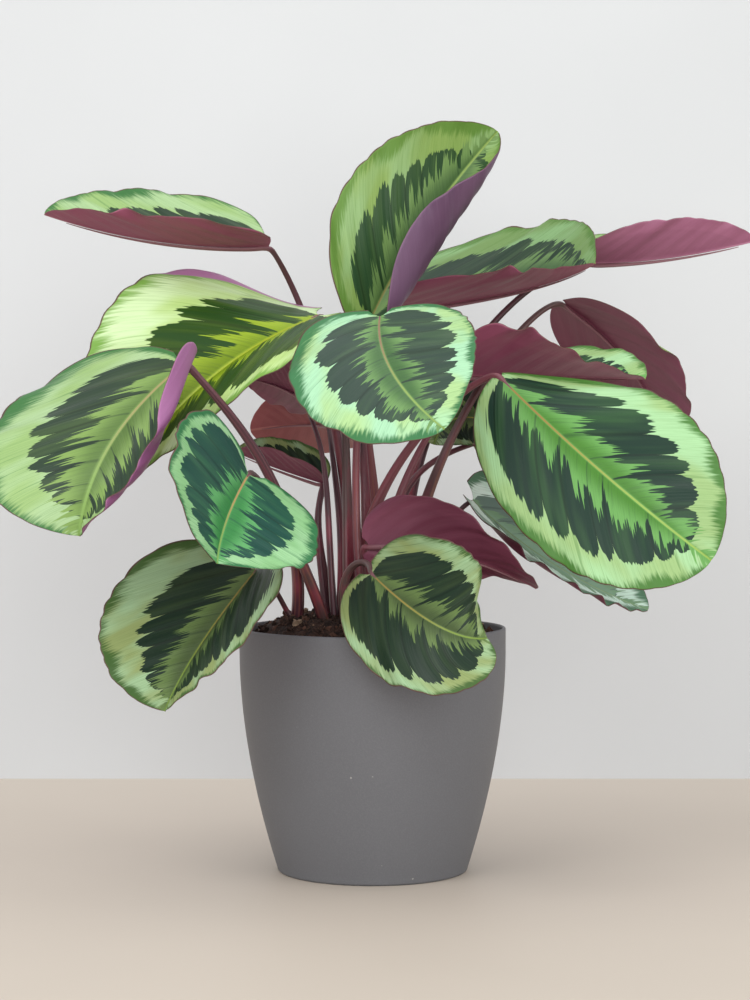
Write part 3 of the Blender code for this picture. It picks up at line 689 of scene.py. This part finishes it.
def make_blade(leaf, settings, materials):
    """A blade: fine surface, real thickness, its own finish above and below."""
    points, veins, zones = blade_surface(leaf, settings)
    blade = sheet_from_grid("leaf_" + leaf.name, points, veins=veins, zones=zones)
    blade.data.materials.append(materials[leaf.top])
    blade.data.materials.append(materials[leaf.under])
    skin = blade.modifiers.new("thickness", 'SOLIDIFY')
    skin.thickness = settings.thickness
    skin.offset = 0.0
    skin.use_even_offset = False
    skin.material_offset = 1
    bpy.ops.object.modifier_apply(modifier=skin.name)
    settle(blade, "blade_" + leaf.name)


def stalk_axis(leaf, settings):
    """Points from the soil to the blade and on along its midrib, and the radius at each."""
    thick, thin = leaf.stalk
    s = np.linspace(0, 1, settings.steps)
    foot = (*leaf.foot, CROWN_HEIGHT - settings.rooting)
    weights = ((1 - s) ** 3, 3 * s * (1 - s) ** 2, 3 * s * s * (1 - s), s ** 3)
    stem = sum(np.outer(weight, point)
               for weight, point in zip(weights, (foot, leaf.rise, leaf.reach, leaf.base)))
    distance = np.linalg.norm(stem - stem[-1], axis=1)
    swell = np.exp(-((distance - JOINT_BELOW) / JOINT_LENGTH) ** 2)
    stem_radius = (thick + (thin - thick) * s ** 0.8) * (1 + JOINT_SWELL * swell)
    x = np.arange(settings.rib_steps)
    rib, _, up = midrib(leaf, settings.rib_share * (x + 1) / settings.rib_steps)
    rib_radius = thin * RIB_THICKNESS * (1 - x / x[-1]) ** 0.8 + RIB_END
    rib = rib - up * (rib_radius * RIB_SINK + settings.rib_drop)[:, None]
    path = np.concatenate([stem, rib])
    span = slice(len(stem) - JOINT_REACH, len(stem) + JOINT_REACH)
    for _ in range(JOINT_ROUNDS):
        smooth = path.copy()
        smooth[1:-1] = (path[:-2] + 2 * path[1:-1] + path[2:]) / 4
        path[span] = smooth[span]
    return path, np.concatenate([stem_radius, rib_radius])


def turning_frames(path, start):
    """Side and up directions that follow a path without twisting about it."""
    tangents = unit(np.gradient(path, axis=0))
    ups = np.zeros_like(path)
    up = np.array(start, float)
    for k, tangent in enumerate(tangents):
        up = up - tangent * (up @ tangent)
        up = up / np.linalg.norm(up)
        ups[k] = up
    return np.cross(ups, tangents), ups


def make_stalk(leaf, settings, material):
    """A leaf stalk: a grooved sheath low down, a round stem, a swollen joint and the midrib."""
    path, radius = stalk_axis(leaf, settings)
    # from 0 to 1 along the stem, and on to 2 along the midrib
    run = np.concatenate([np.linspace(0, 1, settings.steps), np.linspace(1, 2, settings.rib_steps)])
    sheath = np.clip(1 - run / settings.sheath_share, 0, 1) ** 1.4
    flatten = np.repeat([0, RIB_FLATNESS], [settings.steps, settings.rib_steps])
    # the channel opens towards the crown's middle, a little differently on each stalk
    outward = (leaf.foot[0] - CROWN_SPREAD * leaf.seed, leaf.foot[1] - CROWN_MIDDLE, 0.0)
    side, up = turning_frames(path, outward)
    angle = np.linspace(0, 2 * np.pi, settings.sides + 1)
    ring_x = np.cos(angle)[None, :] * (1 + settings.sheath_spread * sheath)[:, None]
    channel = CHANNEL_DEPTH * np.exp(-((angle - 1.5 * np.pi) / CHANNEL_WIDTH) ** 2)[None, :]
    ring_y = np.sin(angle)[None, :] * (1 - flatten)[:, None] * (1 - channel * (0.25 + sheath[:, None]))
    points = (path[:, None, :] + (ring_x * radius[:, None])[..., None] * side[:, None, :]
              + (ring_y * radius[:, None])[..., None] * up[:, None, :])
    skin = np.zeros_like(points)
    skin[..., 0] = run[:, None]
    skin[..., 1] = np.abs(angle / np.pi - 1)[None, :]
    skin[..., 2] = leaf.seed
    points[:, -1] = points[:, 0]
    stalk = sheet_from_grid("stem_" + leaf.name, points, wrap=True, skin=skin)
    stalk.data.materials.append(material)
    settle(stalk, "stalk_" + leaf.name)


def outer_radius(height):
    """The planter's outer wall: upright at the rim, curving in towards the base."""
    below = max(0.0, 1.0 - height / BULGE_HEIGHT)
    return RIM_RADIUS - (RIM_RADIUS - BASE_RADIUS) * below ** BULGE_POWER


def arc(centre, radius, start, end, steps):
    """Points of a round edge in a turned profile, angles in degrees from outwards to up."""
    angles = np.radians(np.linspace(start, end, steps))
    return [(centre[0] + radius * math.cos(a), centre[1] + radius * math.sin(a)) for a in angles]


def planter_profile(settings):
    """Radius and height from the base's edge, over the rim, down to the inside floor."""
    foot = settings.foot_round
    rim = settings.wall / 2
    profile = arc((outer_radius(foot) - foot, foot), foot, -90, 0, ROUND_POINTS)
    heights = np.linspace(foot, POT_HEIGHT - rim, settings.rings)[1:]
    profile += [(outer_radius(z), z) for z in heights]
    profile += arc((RIM_RADIUS - rim, POT_HEIGHT - rim), rim, 0, 180, RIM_POINTS)[1:]
    profile += [(outer_radius(z) - settings.wall, z) for z in heights[-2::-1] if z > settings.floor]
    return profile + [(outer_radius(settings.floor) - settings.wall - foot, settings.floor)]


def make_planter(settings):
    """The planter, extruded and resized ring by ring from a disc, as on a lathe."""
    profile = planter_profile(settings)
    radius, height = profile[0]
    begin()
    bpy.ops.mesh.primitive_circle_add(vertices=settings.segments, radius=radius, fill_type='NGON',
                                      location=(0, 0, height))
    planter = bpy.context.object
    planter.name = planter.data.name = "planter"
    bpy.ops.object.mode_set(mode='EDIT')
    bpy.ops.mesh.select_all(action='SELECT')
    for wider, higher in profile[1:]:
        bpy.ops.mesh.extrude_region_move(
            TRANSFORM_OT_translate={"value": (0, 0, higher - height)})
        bpy.ops.transform.resize(value=(wider / radius, wider / radius, 1),
                                 center_override=(0, 0, higher))
        radius, height = wider, higher
    face_outwards()
    bpy.ops.object.transform_apply(location=True, rotation=True, scale=True)
    bpy.ops.object.shade_smooth_by_angle(angle=math.radians(40))
    planter.data.materials.append(planter_material(settings))
    settle(planter, "pot")


def mound_height(x, y, settings):
    """Height of the soil: a low mound with lumps, lowest along the wall."""
    radius = np.hypot(x, y)
    inner = outer_radius(SOIL_EDGE) - settings.clearance
    slope = np.clip((inner - radius) / (inner - CROWN_RADIUS), 0, 1)
    height = SOIL_EDGE + (CROWN_HEIGHT - SOIL_EDGE - settings.relief) * slope ** 0.8
    lumps = (np.sin(x * 310 + 1.3 * np.sin(y * 240)) * np.sin(y * 275 + 1.7 * np.sin(x * 190))
             + 0.6 * np.sin(x * 720 + y * 310) * np.sin(y * 640 - x * 250))
    return height + settings.relief * 0.5 * lumps * np.clip(slope * 6 + 0.3, 0, 1)


def make_soil(settings):
    """The soil's surface: a round sheet with lumps, closed below."""
    count = settings.cells
    u, v = np.meshgrid(np.linspace(-1, 1, count), np.linspace(-1, 1, count))
    radius = (outer_radius(SOIL_EDGE) - settings.clearance) * np.maximum(abs(u), abs(v))
    angle = np.arctan2(v, u)
    x, y = radius * np.cos(angle), radius * np.sin(angle)
    points = np.stack([x, y, mound_height(x, y, settings)], -1)
    tone = np.tile(BED_TONE, (count, count, 1))
    soil = sheet_from_grid("potting_soil", points, tone=tone)
    bpy.ops.object.mode_set(mode='EDIT')
    bpy.ops.mesh.select_all(action='DESELECT')
    bpy.ops.mesh.select_non_manifold()
    bpy.ops.mesh.extrude_region_move(TRANSFORM_OT_translate={"value": (0, 0, -settings.depth)})
    bpy.ops.mesh.edge_face_add()
    face_outwards()
    soil.data.materials.append(soil_material())
    settle(soil, "soil")
    return soil.data.materials[0]


def make_crumbs(settings, material):
    """Crumbs of peat and bark: one rough lump, copied, turned and squashed many times."""
    begin()
    bpy.ops.mesh.primitive_ico_sphere_add(subdivisions=2, radius=1)
    lump = bpy.context.object
    corners = np.array([vertex.co for vertex in lump.data.vertices])
    faces = np.array([tuple(face.vertices) for face in lump.data.polygons])
    bpy.data.objects.remove(lump, do_unlink=True)
    rng = np.random.default_rng(settings.seed)
    places, tones, sides = [], [], []
    limit = outer_radius(SOIL_EDGE) - settings.clearance
    for k in range(settings.crumbs):
        size = settings.largest * rng.uniform(0.25, 1.0) ** 2.2
        distance = (limit - size * 1.3) * math.sqrt(rng.uniform(0.0, 1.0))
        turn = rng.uniform(0, 2 * math.pi)
        x, y = distance * math.cos(turn), distance * math.sin(turn)
        basis, _ = np.linalg.qr(rng.normal(size=(3, 3)))
        shape = corners * (1 + 0.28 * rng.normal(size=(len(corners), 1)).clip(-1.5, 1.5))
        shape = (shape * rng.uniform(0.5, 1.1, 3)) @ basis * size
        sides.append(faces + k * len(corners))
        shape = shape + (x, y, mound_height(np.array(x), np.array(y), settings) + size * 0.25)
        places.append(shape)
        tones.append(np.tile((rng.uniform(), 0.0, rng.uniform()), (len(corners), 1)))
    mesh = bpy.data.meshes.new("soil_crumbs")
    mesh.from_pydata(np.concatenate(places).tolist(), [], np.concatenate(sides).tolist())
    mesh.attributes.new("tone", 'FLOAT_VECTOR', 'POINT').data.foreach_set(
        "vector", np.concatenate(tones).ravel())
    crumbs = bpy.data.objects.new("soil_crumbs", mesh)
    bpy.context.scene.collection.objects.link(crumbs)
    begin()
    crumbs.select_set(True)
    bpy.context.view_layer.objects.active = crumbs
    bpy.ops.object.mode_set(mode='EDIT')
    face_outwards()
    bpy.ops.object.shade_smooth_by_angle(angle=math.radians(35))
    mesh.materials.append(material)
    settle(crumbs, "soil")


def add_light(name, place, size, power, spread=180):
    """A square soft light that looks at the middle of the plant."""
    target = Vector((0, 0, POT_HEIGHT * 1.6))
    turn = (target - Vector(place)).to_track_quat('-Z', 'Y').to_euler()
    bpy.ops.object.light_add(type='AREA', location=place, rotation=turn)
    light = bpy.context.object
    light.name = name
    light.data.size = size
    light.data.energy = power
    light.data.spread = math.radians(spread)


def add_plane(name, size, colour, roughness, one_way=False, **place):
    """One flat side of the stage."""
    begin()
    bpy.ops.mesh.primitive_plane_add(size=size, **place)
    plane = bpy.context.object
    plane.name = name
    plane.data.materials.append(plain_material(name, tuple(colour), roughness, one_way))
    return plane


def make_stage(settings):
    """Pale floor and wall, soft lights, an even sky and the camera."""
    side = settings.floor_size
    floor = add_plane("stage_floor", side, settings.floor_colour, roughness=0.6)
    wall = add_plane("stage_wall", side, settings.wall_colour, roughness=0.8, one_way=True,
                     location=(0, settings.wall_distance, 0), rotation=(math.pi / 2, 0, 0))
    wall.visible_diffuse = False
    wall.visible_glossy = False
    add_light("key_light", (-1.3, -1.7, 2.1), size=1.6, power=settings.key_power)
    add_light("fill_light", (1.9, -1.5, 1.3), size=1.8, power=settings.fill_power)
    add_light("top_light", (0.2, 0.2, 2.3), size=1.4, power=settings.top_power)
    add_light("front_light", (0.3, -2.7, 0.75), size=1.4, power=settings.front_power, spread=70)
    world = bpy.data.worlds.new("soft_sky")
    world.use_nodes = True
    sky = world.node_tree.nodes["Background"]
    sky.inputs["Color"].default_value = (1.0, 1.0, 1.0, 1.0)
    sky.inputs["Strength"].default_value = settings.sky
    bpy.context.scene.world = world
    bpy.context.scene.view_settings.view_transform = 'Standard'
    place = (settings.camera_side, -settings.camera_distance, settings.camera_height)
    bpy.ops.object.camera_add(location=place, rotation=(math.pi / 2 - settings.camera_tilt, 0, 0))
    camera = bpy.context.object
    camera.name = "front_camera"
    camera.data.lens = settings.lens
    bpy.context.scene.camera = camera


def number(name, description, default, **more):
    """A setting that is a plain number."""
    return FloatProperty(name=name, description=description, default=default, **more)


def share(name, description, default):
    """A setting that is a share of something."""
    return number(name, description, default, min=0, max=1, subtype='FACTOR')


def metres(name, description, default):
    """A length in metres."""
    return number(name, description, default, unit='LENGTH')


def watts(name, description, default):
    """A light's power in watts."""
    return number(name, description, default, unit='POWER')


def whole(name, description, default, least=0):
    """A setting that counts something."""
    return IntProperty(name=name, description=description, default=default, min=least)


def tint(name, description, tone):
    """A colour setting, from the usual 0 to 255 numbers."""
    return FloatVectorProperty(name=name, description=description, default=paint(*tone), size=3,
                               subtype='COLOR')


class CalatheaPlanter(bpy.types.PropertyGroup):
    """Sizes and colour of the planter."""
    segments: whole("Segments", "Faces around the planter", 144, least=24)
    rings: whole("Rings", "Rings up the wall", 30, least=6)
    wall: metres("Wall", "Thickness of the wall", 0.0028)
    floor: metres("Floor", "Thickness of the floor", 0.0045)
    foot_round: metres("Foot round", "Rounding around the base", 0.0025)
    colour: tint("Colour", "Colour of the plastic", (102, 103, 107))


class CalatheaSoil(bpy.types.PropertyGroup):
    """Relief and crumbs of the soil."""
    cells: whole("Cells", "Points across the soil's surface", 121, least=9)
    relief: metres("Relief", "Height of the lumps", 0.0022)
    depth: metres("Depth", "Depth of the modelled layer", 0.03)
    clearance: metres("Clearance", "From the wall's outside to the soil", 0.0031)
    crumbs: whole("Crumbs", "Number of loose crumbs", 900, least=1)
    largest: metres("Largest crumb", "Radius of the largest crumb", 0.0042)
    seed: whole("Seed", "Arrangement of the crumbs", 11)


class CalatheaBlades(bpy.types.PropertyGroup):
    """Relief and pattern of the blades."""
    rows: whole("Rows", "Points along a blade", 96, least=12)
    columns: whole("Columns", "Points from midrib to margin", 34, least=6)
    thickness: metres("Thickness", "Thickness of a blade", 0.0006)
    quilting: metres("Quilting", "Height of the swells between lateral veins", 0.0008)
    folds: number("Folds", "Swells along a blade", 8.0)
    groove: metres("Groove", "Depth of the groove along the midrib", 0.0007)
    scallop: share("Scallop", "Share by which the margin goes in and out", 0.022)


class CalatheaStalks(bpy.types.PropertyGroup):
    """Shape of the leaf stalks."""
    steps: whole("Steps", "Rings along a stalk", 64, least=8)
    sides: whole("Sides", "Faces around a stalk", 18, least=6)
    rib_steps: whole("Rib steps", "Rings along the raised midrib", 36, least=8)
    rib_share: share("Rib share", "Share of a blade with a raised midrib", 0.9)
    rib_drop: metres("Rib drop", "How far below the blade the midrib lies", 0.0014)
    rooting: metres("Rooting", "Depth of a stalk's foot in the soil", 0.004)
    sheath_share: share("Sheath share", "Share of a stalk that is sheath", 0.45)
    sheath_spread: share("Sheath spread", "Extra width at the sheath's foot", 0.8)


class CalatheaStage(bpy.types.PropertyGroup):
    """Floor, wall, lights and camera."""
    floor_size: metres("Floor size", "Side of the floor", 7.0)
    wall_distance: metres("Wall distance", "From the plant's axis to the wall", 0.52)
    floor_colour: tint("Floor", "Colour of the floor", (198, 187, 174))
    wall_colour: tint("Wall", "Colour of the wall", (214, 217, 219))
    key_power: watts("Key power", "Power of the key light", 26.0)
    fill_power: watts("Fill power", "Power of the fill light", 10.0)
    top_power: watts("Top power", "Power of the top light", 6.0)
    front_power: watts("Front power", "Power of the low light in front", 3.6)
    sky: number("Sky", "Strength of the even sky", 0.85)
    camera_distance: metres("Camera distance", "In front of the plant's axis", 1.95)
    camera_height: metres("Camera height", "Above the floor", 0.357)
    camera_side: metres("Camera side", "To the right of the plant's axis", 0.002)
    camera_tilt: number("Camera tilt", "Below the horizon", math.radians(1.4625), unit='ROTATION')
    lens: number("Lens", "Focal length", 84.6, unit='CAMERA')


class CALATHEA_OT_planter(bpy.types.Operator):
    """Turn the planter"""
    bl_idname = "calathea.planter"
    bl_label = "Planter"

    def execute(self, context):
        make_planter(context.scene.calathea_planter)
        return {'FINISHED'}


class CALATHEA_OT_soil(bpy.types.Operator):
    """Lay the soil and its crumbs"""
    bl_idname = "calathea.soil"
    bl_label = "Soil"

    def execute(self, context):
        settings = context.scene.calathea_soil
        make_crumbs(settings, make_soil(settings))
        return {'FINISHED'}


class CALATHEA_OT_blades(bpy.types.Operator):
    """Grow the patterned blades"""
    bl_idname = "calathea.blades"
    bl_label = "Blades"

    def execute(self, context):
        materials = {finish: leaf_top_material(finish) for finish in TOPS}
        materials |= {finish: leaf_under_material(finish) for finish in UNDERS}
        for leaf in LEAVES:
            make_blade(leaf, context.scene.calathea_blades, materials)
        return {'FINISHED'}


class CALATHEA_OT_stalks(bpy.types.Operator):
    """Grow the leaf stalks and the raised midribs"""
    bl_idname = "calathea.stalks"
    bl_label = "Stalks"

    def execute(self, context):
        material = stalk_material()
        for leaf in LEAVES:
            make_stalk(leaf, context.scene.calathea_stalks, material)
        return {'FINISHED'}


class CALATHEA_OT_stage(bpy.types.Operator):
    """Set the floor, the wall, the lights and the camera"""
    bl_idname = "calathea.stage"
    bl_label = "Stage"

    def execute(self, context):
        make_stage(context.scene.calathea_stage)
        return {'FINISHED'}


class CALATHEA_PT_panel(bpy.types.Panel):
    """The pieces of the plant in the 3D view's sidebar"""
    bl_idname = "CALATHEA_PT_panel"
    bl_label = "Potted calathea"
    bl_space_type = 'VIEW_3D'
    bl_region_type = 'UI'
    bl_category = "Calathea"

    def draw(self, context):
        for operator, group, _ in STEPS:
            box = self.layout.box()
            box.operator(operator.bl_idname)
            settings = getattr(context.scene, group)
            for name in settings.bl_rna.properties.keys():
                if name not in {"rna_type", "name"}:
                    box.prop(settings, name)


STEPS = (
    (CALATHEA_OT_planter, "calathea_planter", CalatheaPlanter),
    (CALATHEA_OT_soil, "calathea_soil", CalatheaSoil),
    (CALATHEA_OT_blades, "calathea_blades", CalatheaBlades),
    (CALATHEA_OT_stalks, "calathea_stalks", CalatheaStalks),
    (CALATHEA_OT_stage, "calathea_stage", CalatheaStage),
)
OPERATORS, NAMES, GROUPS = zip(*STEPS)
CLASSES = (*GROUPS, *OPERATORS, CALATHEA_PT_panel)


def register():
    for made in CLASSES:
        bpy.utils.register_class(made)
    for name, group in zip(NAMES, GROUPS):
        setattr(bpy.types.Scene, name, PointerProperty(type=group))


def unregister():
    for name in NAMES:
        delattr(bpy.types.Scene, name)
    for made in reversed(CLASSES):
        bpy.utils.unregister_class(made)


def main():
    register()
    bpy.ops.calathea.planter()
    bpy.ops.calathea.soil()
    bpy.ops.calathea.blades()
    bpy.ops.calathea.stalks()
    bpy.ops.calathea.stage()


if __name__ == "__main__":
    main()
